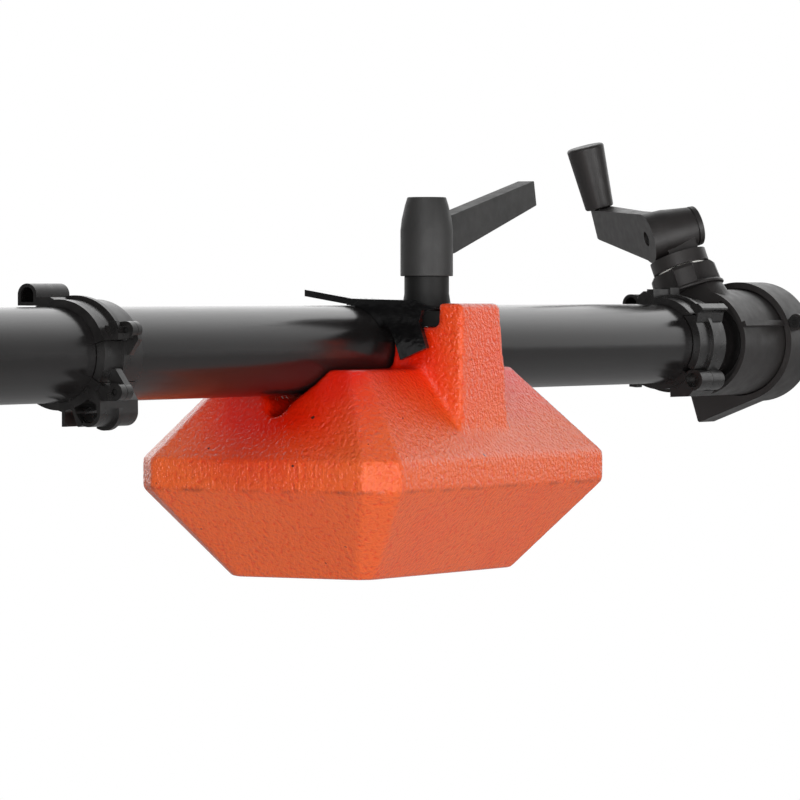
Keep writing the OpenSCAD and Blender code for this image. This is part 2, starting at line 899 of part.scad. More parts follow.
// What the swinging latch needs clear above its pin
module swing(at, r) {
    intersection() {
        through(at, r);
        translate([-3 * band_r, -5, -over])
            cube([3 * band_r, 3 * band_r, clip_len + 2 * over]);
    }
}
module cable_roller(at, r, drop, h) {
    translate([at[0], at[1], 0])
        difference() {
            union() {
                cylinder(r = r, h = h);
                translate([-r, -drop, 0])
                    cube([2 * r, drop, h]);
            }
            translate([0, 0, -over]) {
                cylinder(r = r - hook_t, h = over + h / 2);
                translate([hook_t - r, hook_t - drop, 0])
                    cube([2 * r - 2 * hook_t, drop - hook_t, over + h / 2]);
            }
        }
}
module clip_band(x) {
    leg_y = arch_at[0] + arch_r;
    leg_z = bowl_at[1] - bowl_o;
    color([0.12, 0.12, 0.12])
        along(x)
            difference() {
                union() {
                    difference() {
                        union() {
                            band_part(latch_from + 1, 528);
                            slab(5.5, 4.6, [[-20, 4], [-27, 4], [-27, 12], [-20, 12.4]]);
                            slab(10, 3.9, [[upper_pin[0], upper_pin[1] + knuckle_r], [-18.4, 13], [-18.4, 8],
                                [upper_pin[0], upper_pin[1] - knuckle_r]]);
                        }
                        swing(lower_pin, front_seam + gap);
                    }
                    slab(5.5, 2.2, [[-22.3, 11.9], [-22.3, 14.2], [-26, 14.2], [-27, 11.9]]);
                    knuckle(upper_pin, 10, 3.9, pin_r + snug);
                    knuckle(lower_pin, 2, 4.2, pin_r + snug);
                    slab(2, 4.2, [[lower_pin[0], -12], [-22, -12.9], [-17.6, -10.4], [-14, -14.3],
                        [-14, -19.1], [lower_pin[0], lower_pin[1] - knuckle_r]]);
                    cable_roller(roller_at, hook_r, 4.6, clip_len - 4);
                    slab(0, clip_len - 4, [[10.4, 20.4], [10.4, 24], [3, 24], [0, 22.6], [0, 20]]);
                    // Cable hook: near wall, bowl, slanted branch, arch and outer leg
                    slab(0, clip_len, [[bowl_at[0] - bowl_o, bowl_at[1]], [bowl_at[0] - bowl_r, bowl_at[1]],
                        [-19.6, -20.4], [-14, -17], [-18.4, -13.4], [-21.6, -18.8]]);
                    translate([bowl_at[0], bowl_at[1], 0])
                        arc(bowl_o, bowl_r, clip_len, 180, 302);
                    translate([bowl_at[0], bowl_at[1], rib_x])
                        arc(bowl_o + clip_step, bowl_r, rib_w, 165, 300);
                    slab(0, clip_len, [[arch_at[0] - arch_r, arch_at[1]],
                        [arch_at[0] - arch_r + hook_t, arch_at[1]], [-10.6, leg_z], [-13.2, leg_z + 0.7]]);
                    translate([arch_at[0], arch_at[1], 0])
                        arc(arch_r, arch_r - hook_t, clip_len, 0, 180);
                    slab(0, clip_len, [[leg_y, arch_at[1] + 0.1], [leg_y, leg_z], [leg_y - hook_t, leg_z],
                        [leg_y - hook_t, arch_at[1] + 0.1]]);
                }
                through([0, 0], tube_r + snug);
                through(upper_pin, pin_r + snug);
                through(lower_pin, pin_r + snug);
            }
}
module clip_latch(x) {
    reach = upper_pin[1] - lower_pin[1];
    color([0.12, 0.12, 0.12])
        along(x)
            difference() {
                union() {
                    intersection() {
                        band_part(155, latch_from);
                        through(lower_pin, front_seam);
                    }
                    knuckle(lower_pin, 6.5, 4.3, pin_r + run);
                    slab(6.5, 4.3, [[-30.1, -12.9], [-25, -5.5], [-21, -6], [-20.4, -9.6], [-25, -12.4],
                        [-26, -14]]);
                    // Finger that snaps over the upper pin
                    slab(14.2, 3, [[-21, 0], [-22.6, 4.4], [-25.6, 5.8], [-25.6, 8.4], [-31, 8.4],
                        [-31.4, 6.6], [-27, 0]]);
                    knuckle(upper_pin, 14.2, 3, pin_r + gap);
                }
                translate([lower_pin[0], lower_pin[1], 14])
                    arc(reach + pin_r + gap, reach - pin_r - gap, 4, 60, 91);
                through(lower_pin, pin_r + run);
                through([0, 0], tube_r + gap);
            }
}
module clip_pins(x) {
    color("silver")
        along(x) {
            translate([upper_pin[0], upper_pin[1], 11])
                cylinder(r = pin_r, h = 6);
            translate([lower_pin[0], lower_pin[1], 3])
                cylinder(r = pin_r, h = 7.4);
        }
}
module rear_band(x) {
    half = clip_len / 2 - 1;
    color([0.12, 0.12, 0.12])
        along(x)
            difference() {
                union() {
                    difference() {
                        band_part(rear_latch_from + 9, 500);
                        swing(hinge_pin, rear_seam + gap);
                    }
                    translate([hinge_pin[0], hinge_pin[1], 1])
                        cylinder(r = hinge_r, h = half - 1);
                    slab(1, clip_len - 5, [[-6.4, -20], [-6.8, -26.9], [-17, -26.5], [-20, -23], [-16, -17]]);
                    // Cable roller on the far side, with its web and wall
                    cable_roller([15.2, tube_r + 0.2], hook_r, 4.6, clip_len - 4);
                    slab(0, clip_len - 4, [[6, 20], [6, 25.5], [8, 26.4], [10.5, 24.5], [12, 20]]);
                    slab(0, clip_len, [[2, 20], [2.4, 27.4], [6, 27.4], [6, 20]]);
                    slab(half + 4, half - 4, [[1.4, 20], [1.8, 28.2], [6.6, 28.2], [6.6, 20]]);
                    slab(0, 6, [[11, -18], [12, -22.2], [16, -21.8], [16, -16]]);
                }
                translate([hinge_pin[0], hinge_pin[1], half])
                    cylinder(r = hinge_r + gap, h = clip_len - half - 2.4);
                translate([hinge_pin[0], hinge_pin[1], -over])
                    cylinder(r = hinge_r - 1.6, h = over + 6);
                through(hinge_pin, pin_r + snug);
                through([0, 0], tube_r + snug);
            }
}
module rear_latch(x) {
    half = clip_len / 2 - 1;
    color([0.12, 0.12, 0.12])
        along(x)
            difference() {
                union() {
                    difference() {
                        intersection() {
                            band_part(130, rear_latch_from);
                            through(hinge_pin, rear_seam);
                        }
                        translate([hinge_pin[0], hinge_pin[1], -over])
                            cylinder(r = hinge_r + gap, h = over + half + gap);
                    }
                    translate([hinge_pin[0], hinge_pin[1], half + gap])
                        cylinder(r = hinge_r, h = clip_len - half - 3);
                    difference() {
                        slab(0.2, clip_len - 0.4, [[-16.5, 12], [-17, 14], [-18.4, 19.2], [-20, 20.2],
                            [-22.8, 20.2], [-25.2, 18], [-25.2, 17.2], [-22.8, 15.6], [-22, 11]]);
                        difference() {
                            through([-clip_side, 0], band_r + clip_step + gap);
                            through(hinge_pin, rear_seam - gap);
                        }
                    }
                }
                through(hinge_pin, pin_r + run);
                through([0, 0], tube_r + gap);
            }
}
module rear_pin(x) {
    color("silver")
        along(x)
            translate([hinge_pin[0], hinge_pin[1], 6.5])
                cylinder(r = pin_r, h = clip_len - 10.5);
}
module front_clip() { clip_band(clip_front_x); }
module front_clip_latch() { clip_latch(clip_front_x); }
module front_clip_pins() { clip_pins(clip_front_x); }
module rear_clip() { rear_band(clip_rear_x); }
module rear_clip_latch() { rear_latch(clip_rear_x); }
module rear_clip_pin() { rear_pin(clip_rear_x); }

// Counterweight: octagons lofted between the top face, the band and the bottom face
function octagon(l, w, c, x, z) = [[x - l / 2 + c, -w / 2, z], [x + l / 2 - c, -w / 2, z],
    [x + l / 2, c - w / 2, z], [x + l / 2, w / 2 - c, z], [x + l / 2 - c, w / 2, z],
    [x - l / 2 + c, w / 2, z], [x - l / 2, w / 2 - c, z], [x - l / 2, c - w / 2, z]];
module loft(rings) {
    n = len(rings);
    pts = [for (r = rings) each r];
    polyhedron(points = pts, faces = concat([[for (k = [0 : 7]) k]],
        [for (j = [0 : n - 2], k = [0 : 7])
            [8 * j + (k + 1) % 8, 8 * j + k, 8 * (j + 1) + k, 8 * (j + 1) + (k + 1) % 8]],
        [[for (k = [7 : -1 : 0]) 8 * (n - 1) + k]]));
}
module counterweight() {
    color("orangered")
        translate([weight_x, 0, zt])
            difference() {
                union() {
                    mirror([0, 0, 1])
                        mirror([0, 1, 0])
                            loft([octagon(weight_top_len, weight_top_w, face_cut, -face_shift, weight_top_z),
                                octagon(weight_len, weight_w, band_cut, 0, band_top_z),
                                octagon(weight_len, weight_w, band_cut, 0, band_bot_z),
                                octagon(weight_base_len, weight_base_w, face_cut, -face_shift,
                                    weight_base_z)]);
                    intersection() {
                        translate([-wlug_len, 0, 0])
                            rotate([90, 0, 90])
                                linear_extrude(2 * wlug_len)
                                    polygon([[-wlug_out - 2.6, -weight_top_z - 29], [-wlug_out, wlug_top - 2],
                                        [-wlug_out + 2, wlug_top], [-wlug_out + wlug_wall, wlug_top],
                                        [-wlug_out + wlug_wall, ledge_z],
                                        [-wlug_out + wlug_wall + ledge_w, ledge_z],
                                        [-tube_r - 0.6, 3.8], [-tube_r - 0.6, -weight_top_z], [-30, -22]]);
                        rotate([90, 0, 0])
                            linear_extrude(2 * wlug_out)
                                polygon([[-wlug_len / 2 - lug_flare, -weight_top_z - 30],
                                    [lug_flare + wlug_len / 2 - 3, -weight_top_z - 30],
                                    [wlug_len / 2 - lug_flare, wlug_top],
                                    [lug_draft - wlug_len / 2, wlug_top]]);
                    }
                }
                translate([-weight_len, 0, 0])
                    rotate([0, 90, 0])
                        cylinder(r = rest_r, h = 2 * weight_len);
                translate([-weight_len, 0, 0])
                    rotate([90, 0, 90])
                        linear_extrude(2 * weight_len)
                            polygon([[0, -rest_r * sqrt(2)], [rest_r / sqrt(2) + 20, 20 - rest_r / sqrt(2)],
                                [-tube_r, 20], [-rest_r / sqrt(2), -rest_r / sqrt(2)]]);
                translate([-weight_len, 0, -trough_z])
                    rotate([0, 90, 0])
                        cylinder(r = trough_r, h = 2 * weight_len);
                translate([0, -stud_y, -32])
                    cylinder(r = stud_r + snug, h = 60);
            }
}
module saddle_plate() {
    rise = tongue_reach * tan(tongue_rise) - 1;
    front = wlug_len / 2 + lug_flare + saddle_t;
    color([0.07, 0.07, 0.08])
        along(weight_x - front)
            difference() {
                union() {
                    arc(saddle_ro, saddle_ri, wlug_len + 5, 90, 150);
                    intersection() {
                        linear_extrude(wlug_len)
                            polygon([[-1, saddle_ri], [tongue_reach, saddle_ri + rise],
                                [tongue_reach, saddle_ro + rise], [-1, saddle_ro]]);
                        rotate([90, 0, 0])
                            linear_extrude(4 * saddle_ro, center = true)
                                polygon([[-1, saddle_t], [-1, wlug_len * 0.67],
                                    [tongue_reach, wlug_len * 0.31], [tongue_reach, saddle_t]]);
                    }
                    linear_extrude(saddle_t)
                        polygon([[0, saddle_ro], [-34, 22.4], [-46.7, 18.6], [-39.4, 17.8], [-37.9, 12.6],
                            [-41.5, 0.9], [-28, -4.6], [-25.4, 3.5], [-22.8, 8.9], [-16, 17], [-6, 20.5]]);
                }
                translate([0, 0, -over])
                    cylinder(r = saddle_ri, h = 2 * wlug_len);
            }
}
module clamp_bar() {
    heel = -wlug_out + wlug_wall + 0.3;
    ty = -(saddle_ro + snug) * sin(toe_a);
    tz = (saddle_ro + snug) * cos(toe_a);
    color("dimgray")
        difference() {
            plate(weight_x - wlug_len / 2 + 4, wlug_len - 8, [[heel, bar_z],
                [ty - (tz - bar_z) / tan(toe_a), bar_z], [ty + (bar_top - tz) / tan(toe_a), bar_top],
                [heel, bar_top]]);
            translate([weight_x, -stud_y, zt])
                cylinder(r = stud_r + gap, h = 60);
        }
}
module lever_stud() {
    color("silver")
        translate([weight_x, -stud_y, zt - 31])
            cylinder(r = stud_r, h = 31 + lever_z + stud_deep - collar_h - 1);
}
module weight_lever_at() {
    translate([weight_x, -stud_y, zt + lever_z])
        children();
}
module weight_lever() {
    color("dimgray") weight_lever_at() lever_hub();
}
module weight_lever_insert() {
    color("silver") weight_lever_at() lever_insert(lever_z - bar_top - lever_washer_t);
}
module lever_washer() {
    color("black")
        translate([weight_x, -stud_y, zt + bar_top])
            ring(insert_r + 0.2, stud_r + run, lever_washer_t);
}

// Rear unit
ear_y = housing_r + 4.4;
fin_t = 2.8;
fin_out = 1.8;
pocket = 9;
seat_h = 12;
seat_flare = 3.5;
module housing_body() {
    x0 = housing_x - crank_x;
    difference() {
        union() {
            translate([x0, 0, 0])
                rotate([90, 0, 90])
                    cylinder(r = housing_r, h = housing_end - housing_x);
            // Flared seat under the locking knob
            intersection() {
                translate([0, 0, knob_base - gap - seat_h])
                    cylinder(r1 = knob_r + seat_flare, r2 = knob_r - 0.2, h = seat_h);
                box([x0, x0 + sleeve_len], [-housing_r, housing_r], [0, knob_base]);
            }
            cylinder(r = boss_r, h = boss_top);
            box([x0, x0 + sleeve_len], [-housing_r - fin_out, 1 - housing_r], [-fin_t / 2, fin_t / 2]);
            box([x0 + 4, x0 + 18], [housing_r - 3, ear_y + 4], [-4, 4]);
            box([x0 + 28, x0 + 42], [housing_r - 3, ear_y + 4], [-4, 4]);
        }
        translate([x0 - over, 0, 0])
            rotate([90, 0, 90])
                cylinder(r = tube_r + snug, h = 100);
        translate([x0 - over, 0, 0])
            rotate([90, 0, 90])
                arc(housing_r - shell_t, tube_r - 1, pocket + over, 140, 400);
        cylinder(r = bush_r + snug, h = 60);
        for (x = [x0 + 11, x0 + 35])
            translate([x, ear_y, -10])
                cylinder(r = cap_screw_r + snug, h = 20);
        for (a = [40, 160, 280])
            translate([housing_end - crank_x - 9, 0, 0])
                rotate([90, 0, 90])
                    rotate([0, 0, a])
                        translate([(tube_r + housing_r) / 2, 0, 0])
                            cylinder(r = cap_screw_r + snug, h = 20);
    }
}
module housing_upper() {
    color([0.2, 0.2, 0.2])
        rolled()
            difference() {
                housing_body();
                box([-60, 90], [-60, 60], [-60, 0]);
            }
}
module housing_lower() {
    color([0.2, 0.2, 0.2])
        rolled()
            difference() {
                housing_body();
                box([-60, 90], [-60, 60], [0, 60]);
            }
}
module housing_screws() {
    x0 = housing_x - crank_x;
    color("silver")
        rolled()
            for (x = [x0 + 11, x0 + 35])
                translate([x, ear_y, 4])
                    socket_screw(cap_screw_r, 7.5, 3, 2.4);
}
module end_cap() {
    color([0.2, 0.2, 0.2])
        rolled()
            translate([cap_x - crank_x, 0, 0])
                rotate([90, 0, 90])
                    difference() {
                        union() {
                            cylinder(r = cap_r, h = cap_len - 4);
                            translate([0, 0, cap_len - 4])
                                cylinder(r1 = cap_r, r2 = cap_r - 3.5, h = 4);
                            linear_extrude(foot_len)
                                polygon([[0, -cap_r], [cap_r + 4.3, -cap_r - 0.4], [cap_r + 5, -cap_r + 0.4],
                                    [cap_r + 4, -cap_r + 17], [cap_r - 3, -10], [0, 0]]);
                            translate([-cap_r - 3.6, -1.8, 1])
                                cylinder(r = 4.2, h = 10);
                            box([-cap_r - 3.6, -cap_r + 1], [-4.5, 1], [1, 11]);
                        }
                        translate([0, 0, -over])
                            cylinder(r = housing_r + snug, h = cap_len - cap_plate + over);
                        difference() {
                            translate([0, 0, -over])
                                cylinder(r = cap_r - cap_wall, h = cap_len - cap_plate + over);
                            linear_extrude(foot_len)
                                polygon([[2.5, -cap_r], [cap_r, -cap_r], [cap_r, -14], [19, -20]]);
                        }
                        translate([0, 0, cap_len - cap_plate - over])
                            for (a = [40, 160, 280])
                                rotate([0, 0, a])
                                    translate([(tube_r + housing_r) / 2, 0, 0])
                                        cylinder(r = cap_screw_r + snug, h = 20);
                        translate([-cap_r - 3.6, -1.8, 0])
                            cylinder(r = cap_screw_r + snug, h = 7);
                    }
}
module cap_screws() {
    color("silver")
        rolled()
            translate([cap_x - crank_x, 0, 0])
                rotate([90, 0, 90]) {
                    for (a = [40, 160, 280])
                        rotate([0, 0, a])
                            translate([(tube_r + housing_r) / 2, 0, cap_len])
                                socket_screw(cap_screw_r, cap_plate + 7, 3, 2.4);
                    translate([-cap_r - 3.6, -1.8, 1])
                        mirror([0, 0, 1])
                            socket_screw(cap_screw_r, 5, 3, 2);
                }
}
module shaft_bush() {
    color("darkgoldenrod")
        rolled()
            translate([0, 0, 17.5])
                ring(bush_r, shaft_d / 2, boss_top - 17.5);
}
module lock_knob() {
    color([0.22, 0.22, 0.23])
        rolled()
            difference() {
                rotate_extrude()
                    polygon([[shaft_d / 2 + gap, boss_top + gap], [boss_r + run, boss_top + gap],
                        [boss_r + run, knob_base], [knob_r + 1, knob_base], [knob_r + 1, knob_base + 1],
                        [knob_r, knob_base + knob_flange],
                        [knob_r - 0.6, knob_top - 2], [knob_r - 2.2, knob_top],
                        [shaft_d / 2 + gap, knob_top]]);
                for (k = [0 : 3])
                    rotate([0, 0, 90 * k + valley_a])
                        translate([boss_r + 2.9 + valley_r, 0, knob_base + knob_flange + 0.3])
                            cylinder(r = valley_r, h = 20);
            }
}
module brake_washer() {
    color("white")
        rolled()
            translate([0, 0, knob_top])
                ring(crank_collar_r - 2, shaft_d / 2 + run, washer_h);
}
module crank_shaft() {
    color("silver")
        rolled()
            translate([0, 0, 6.5])
                cylinder(r = shaft_r, h = crank_h - 11 - 6.5);
}
module crank_pinion() {
    color("silver")
        rolled()
            difference() {
                union() {
                    translate([0, 0, mitre_r])
                        mirror([0, 0, 1])
                            mitre(180 / mitre_teeth);
                    translate([0, 0, mitre_r - 0.5])
                        cylinder(r = mitre_r * 0.62, h = 4);
                }
                cylinder(r = shaft_r + snug, h = 30);
            }
}

// Crank
module crank_hub() {
    color([0.25, 0.25, 0.26])
        difference() {
            union() {
                crank_frame()
                    translate([0, 0, collar_s0 - crank_h])
                        cylinder(r = crank_collar_r, h = crank_collar_t);
                crank_frame()
                    translate([0, -1.5, collar_s0 - crank_h + 1])
                        box([-8, 8], [-8, 7.9], [0, crank_h - collar_s0]);
                crank_frame()
                    rotate([90, 0, 0])
                        rotate_extrude()
                            polygon([[0, arm_disc_t - arm_face], [barrel_r - 0.2, arm_disc_t - arm_face],
                                [barrel_r - 0.4, -2], [barrel_r - 1.4, 4], [barrel_r - 2.4, 10.5],
                                [barrel_r - 2.6, 12], [barrel_r - 3.3, 12.2], [barrel_r - 3.3, 12.8],
                                [barrel_r - 2.6, 13], [barrel_r - 2.8, 15.4], [barrel_r - 3.5, 15.9],
                                [0, 15.9]]);
            }
            rolled()
                cylinder(r = shaft_r + snug, h = crank_h - 10.9);
            crank_frame()
                rotate([90, 0, 0])
                    translate([0, 0, -arm_face])
                        cylinder(r = 2.6 + snug, h = arm_face + 9);
        }
}
module crank_arm() {
    tip_x = crank_len - arm_end_t / 2;
    z0 = -1.9;
    z1 = z0 + arm_end_h;
    yi = arm_face - arm_disc_t;
    arm_step = 0.8;
    color([0.27, 0.27, 0.28])
        fold_frame()
            difference() {
                union() {
                    translate([0, yi, 0])
                        rotate([-90, 0, 0])
                            cylinder(r = arm_disc_r, h = arm_disc_t);
                    intersection() {
                        translate([0, arm_face, 0])
                            rotate([90, 0, 0])
                                linear_extrude(arm_end_t)
                                    polygon([[1.2, -arm_disc_r + 0.1], [tip_x, z0], [tip_x + 3, z0 + 1],
                                        [crank_len, z0 + 4], [crank_len, z1 - 1.5], [tip_x + 3, z1],
                                        [tip_x, z1], [0, arm_disc_r]]);
                        translate([0, 0, -30])
                            linear_extrude(60)
                                polygon([[0, yi], [arm_disc_r + 0.8, yi], [tip_x - 4, arm_face - arm_end_t],
                                    [tip_x + 2, arm_face - arm_end_t], [crank_len, arm_face - arm_end_t + 3],
                                    [crank_len, arm_face - 3], [tip_x + 2, arm_face - arm_step],
                                    [0, arm_face - arm_step]]);
                    }
                }
                translate([0, yi - over, 0])
                    rotate([-90, 0, 0])
                        cylinder(r = 2.6 + run, h = 20);
                translate([0, arm_face - 3.4, 0])
                    rotate([-90, 0, 0])
                        cylinder(r = 3.65 + run, h = 20);
                translate([tip_x, arm_face - arm_end_t / 2, z0 + 3])
                    cylinder(r = 3 + snug, h = 30);
            }
}
module crank_screw() {
    color("silver")
        crank_frame()
            translate([0, arm_face - 3.4, 0])
                rotate([-90, 0, 0])
                    socket_screw(2.6, 16, 3.65, 2.4);
}
module grip_at() {
    fold_frame()
        translate([crank_len - arm_end_t / 2, arm_face - arm_end_t / 2, arm_end_h - 1.9])
            children();
}
module grip_pin() {
    color("silver")
        grip_at()
            translate([0, 0, -arm_end_h + 3.2])
                cylinder(r = 3, h = arm_end_h - 3.2 + grip_len - 5);
}
module crank_grip() {
    rb = grip_base_d / 2;
    rt = grip_top_d / 2;
    color([0.27, 0.27, 0.28])
        grip_at()
            translate([0, 0, 0.2])
                difference() {
                    rotate_extrude()
                        polygon([[0, 0], [rb - 0.6, 0], [rb, 0.6], [rt, grip_len - 1.3],
                            [rt - 0.5, grip_len - 0.5], [rt - 1.5, grip_len - 0.1], [0, grip_len]]);
                    translate([0, 0, -over])
                        cylinder(r = 3 + run, h = over + grip_len - 4.5);
                }
}

stand_socket();
socket_knob();
pivot_bolt();
friction_discs();
tilt_lever();
tilt_lever_insert();
clamp_lower();
clamp_upper();
clamp_screws();
main_tube();
front_bush();
extension_collar();
collar_screws();
extension_knob();
brake_pad();
front_tube();
guide_bush();
drive_rod();
rod_bearings();
rod_gear();
drive_sleeve();
sleeve_bush();
worm_thread();
worm_wheel();
tilt_shaft();
head_shell_left();
head_shell_right();
head_screws();
tilt_fork();
lamp_spigot();
front_clip();
front_clip_latch();
front_clip_pins();
rear_clip();
rear_clip_latch();
rear_clip_pin();
counterweight();
saddle_plate();
clamp_bar();
lever_stud();
lever_washer();
weight_lever();
weight_lever_insert();
housing_upper();
housing_lower();
housing_screws();
end_cap();
cap_screws();
shaft_bush();
lock_knob();
brake_washer();
crank_shaft();
crank_pinion();
crank_hub();
crank_arm();
crank_screw();
crank_grip();
grip_pin();
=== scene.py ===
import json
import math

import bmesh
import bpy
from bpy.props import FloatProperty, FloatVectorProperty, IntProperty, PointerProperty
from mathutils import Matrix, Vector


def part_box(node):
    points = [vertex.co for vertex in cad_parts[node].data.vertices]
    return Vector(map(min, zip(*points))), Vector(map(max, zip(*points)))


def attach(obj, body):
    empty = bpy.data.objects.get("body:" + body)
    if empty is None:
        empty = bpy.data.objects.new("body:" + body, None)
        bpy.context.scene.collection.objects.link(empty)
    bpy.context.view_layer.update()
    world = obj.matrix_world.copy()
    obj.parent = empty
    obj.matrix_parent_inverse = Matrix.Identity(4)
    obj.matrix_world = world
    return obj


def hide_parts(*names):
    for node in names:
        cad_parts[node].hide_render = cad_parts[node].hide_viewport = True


bl_info = {
    "name": "Lighting boom",
    "version": (1, 0, 0),
    "blender": (4, 5, 0),
    "location": "View3D > Sidebar > Boom",
    "description": "Dresses a studio lighting boom: cast weight, tube, clips, levers and rear crank",
    "category": "Object",
}

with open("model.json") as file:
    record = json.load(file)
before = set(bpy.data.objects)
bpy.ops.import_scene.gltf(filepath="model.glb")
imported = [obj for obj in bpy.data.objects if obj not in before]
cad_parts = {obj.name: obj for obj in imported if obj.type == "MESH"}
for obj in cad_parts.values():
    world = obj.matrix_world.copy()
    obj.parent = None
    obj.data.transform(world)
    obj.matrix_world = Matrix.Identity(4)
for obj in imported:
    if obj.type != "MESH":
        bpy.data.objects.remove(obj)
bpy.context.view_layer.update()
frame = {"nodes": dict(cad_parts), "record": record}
NODES = frame["nodes"]
BODY_OF = {n: b for b, ns in frame["record"]["behaviour"]["bodies"].items() for n in ns}
SLOT_OF = {s["node"]: s["material_slot"] for s in frame["record"]["subparts"]}
TUBE_Z = sum(corner[2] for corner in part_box("main_tube")) / 2

# The camera that was fitted to the photograph: a long lens, 60 degrees off the tube's side
SENSOR = 36.0
PIXELS = 800.0
FOCAL_PX = 5328.0
SWING = math.radians(60.0)
DIP = math.radians(1.1827)
EYE = Vector((-1.6349, -1.2300, 0.1690))
SIGHT = 60.0

# Square lamps: name, side, place and the point that each faces
LAMPS = (
    ("key", 2.0, (0.1, -3.1, -0.2), (0.45, 0, 0.1)),
    ("fill", 2.0, (-2.7, -1.7, -0.3), (0.45, 0, 0.1)),
    ("top", 1.2, (-0.9, -0.3, 1.6), (0.45, 0, 0.14)),
)
FLOOR_HALF = 40.0
FLOOR_GREY = 0.62
# The backdrop comes up between these two cosines off the camera's heading
BACK_FROM = 0.38
BACK_TO = 0.74

# Corners nearer than the weld are one, facets flatter than flat are one, sharper edges are rounded
WELD = 2e-6
FLAT = math.radians(0.8)
SHARP = math.radians(28.0)
# The lever turns on its washer, so the washer's painted top lies a hair below the insert
WASHER_SINK = 0.00006

# Moulded pieces: mottling, smears in the gloss and shallow waves, in metres across
MOTTLE = 0.02
MOTTLE_DARK = 0.86
MOTTLE_PALE = 1.16
SMEAR = 0.006
SMEAR_ROUGH = 0.06
WAVE = 0.012
WAVE_DEPTH = 0.0002
# Rubbed edges and metals: patches, drawn lines and stains, in metres across
RUB = 0.004
LINES = 0.0005
LINES_DEPTH = 0.00002
STAIN = 0.018
STAIN_DARK = 0.84

# The casting: marks in its enamel, in metres across
PEEL = 0.0019
PEEL_DEPTH = 0.0013
FINE = 0.0009
SAND_CELLS = 420.0
SAND_DEPTH = 0.0005
CLOUD = 0.035
PIT = 0.0036
PIT_COLOUR = (0.10, 0.02, 0.012)
# With the distance from the tube's axis the enamel goes from a painted shade, a deeper red near the
# tube, to its plain orange, and from smooth to rough
SHADED_TO = 0.034
LIT_FROM = 0.068
SMOOTH_TO = 0.030
ROUGH_FROM = 0.060
# The parting line is scuffed, and the band over it is ground
PARTING_Z = 0.0803
SCUFF_HALF = 0.0015
SCUFF = 0.014
SCUFF_COLOUR = (0.20, 0.035, 0.018)
BAND_Z = 0.087
BAND_HALF = 0.0072
BAND_FULL = 0.006
GRIND = 0.0011
GRIND_DEPTH = 0.0006
GRIND_DOWN = (1, 1, 0.04)


def colour(name, about, default):
    return FloatVectorProperty(name=name, description=about, subtype="COLOR", size=3, min=0, max=1,
                               default=default)


def length(name, about, default, **limits):
    return FloatProperty(name=name, description=about, subtype="DISTANCE", unit="LENGTH",
                         default=default, **limits)


def power(name, about, default):
    return FloatProperty(name=name, description=about, unit="POWER", min=0, default=default)


class BoomFinish(bpy.types.PropertyGroup):
    enamel: colour("Weight enamel", "Colour of the cast weight's enamel", (0.80, 0.116, 0.020))
    # Painted shade: the deeper red that is painted on the enamel near the tube and in the peel's
    # hollows, where shade falls
    enamel_painted_shade: colour("Enamel in the hollows", "Deeper red where the enamel lies thick",
                         (0.78, 0.012, 0.001))
    tube: colour("Tube black", "Colour of the anodised main tube", (0.009, 0.008, 0.008))
    nylon: colour("Nylon grey", "Colour of the crank, knob and rear housing",
                  (0.016, 0.0138, 0.0134))
    clip: colour("Clip black", "Colour of the moulded clips", (0.0080, 0.0074, 0.0072))
    lever: colour("Lever grey", "Colour of the clamping levers' powder coat",
                  (0.024, 0.0236, 0.0230))


class BoomShape(bpy.types.PropertyGroup):
    cast_voxel: length("Casting grain", "Mesh size of the cast weight", 0.0014,
                       min=0.001, max=0.003)
    cast_round: IntProperty(name="Casting rounding",
                            description="Passes that round the casting's edges",
                            min=2, max=40, default=5)
    edge: length("Moulded edge", "Rounding of moulded and machined edges", 0.0005,
                 min=0.0001, max=0.001)


class BoomStage(bpy.types.PropertyGroup):
    floor: length("Floor", "Height of the floor under the stand socket", -0.9)
    key: power("Key light", "Power of the large soft light over the long side", 50.0)
    fill: power("Fill light", "Power of the large soft light beside the camera", 84.0)
    top: power("Top light", "Power of the light over the boom", 8.0)
    room: FloatProperty(name="Room light",
                        description="Brightness of the surroundings near the camera",
                        min=0, max=1, default=0.2)
    back: FloatProperty(name="Backdrop light",
                        description="Extra brightness of the surroundings behind the boom",
                        min=0, max=3, default=1.45)


def plug(sock, value):
    """Links a socket to another one, or sets its value."""
    if isinstance(value, bpy.types.NodeSocket):
        sock.id_data.links.new(value, sock)
    else:
        sock.default_value = value


def node_maker(tree):
    """A maker of nodes in a tree, with the inputs and attributes that it is given."""
    def add(kind, inputs=None, **values):
        node = tree.nodes.new(kind)
        for key, value in values.items():
            setattr(node, key, value)
        for key, value in (inputs or {}).items():
            plug(node.inputs[key], value)
        return node

    return add


def finish_tree(name):
    """A new node material, a maker of its nodes and a setter of its shader's inputs."""
    mat = bpy.data.materials.new(name)
    mat.use_nodes = True
    shader = mat.node_tree.nodes["Principled BSDF"]

    def wire(key, value):
        plug(shader.inputs[key], value)

    return mat, node_maker(mat.node_tree), wire


def place(add, scale=(1, 1, 1)):
    """Places in the piece's own metres, stretched along an axis by a scale under 1."""
    coord = add("ShaderNodeTexCoord")
    return add("ShaderNodeMapping", {"Vector": coord.outputs["Object"],
                                     "Scale": scale}).outputs["Vector"]


def grain(add, at, size, detail=3.0, rough=0.5):
    """Noise whose features are about size metres across."""
    return add("ShaderNodeTexNoise", {"Vector": at, "Scale": 1.0 / size, "Detail": detail,
                                      "Roughness": rough}).outputs["Fac"]


def levels(add, fac, lo, hi, a=0.0, b=1.0, curve="LINEAR"):
    """Maps lo to hi onto a to b."""
    return add("ShaderNodeMapRange", {"Value": fac, "From Min": lo, "From Max": hi, "To Min": a,
                                      "To Max": b}, interpolation_type=curve).outputs["Result"]


def calc(add, operation, *values, **flags):
    """One sum or product of sockets and numbers."""
    return add("ShaderNodeMath", dict(enumerate(values)), operation=operation, **flags).outputs[0]


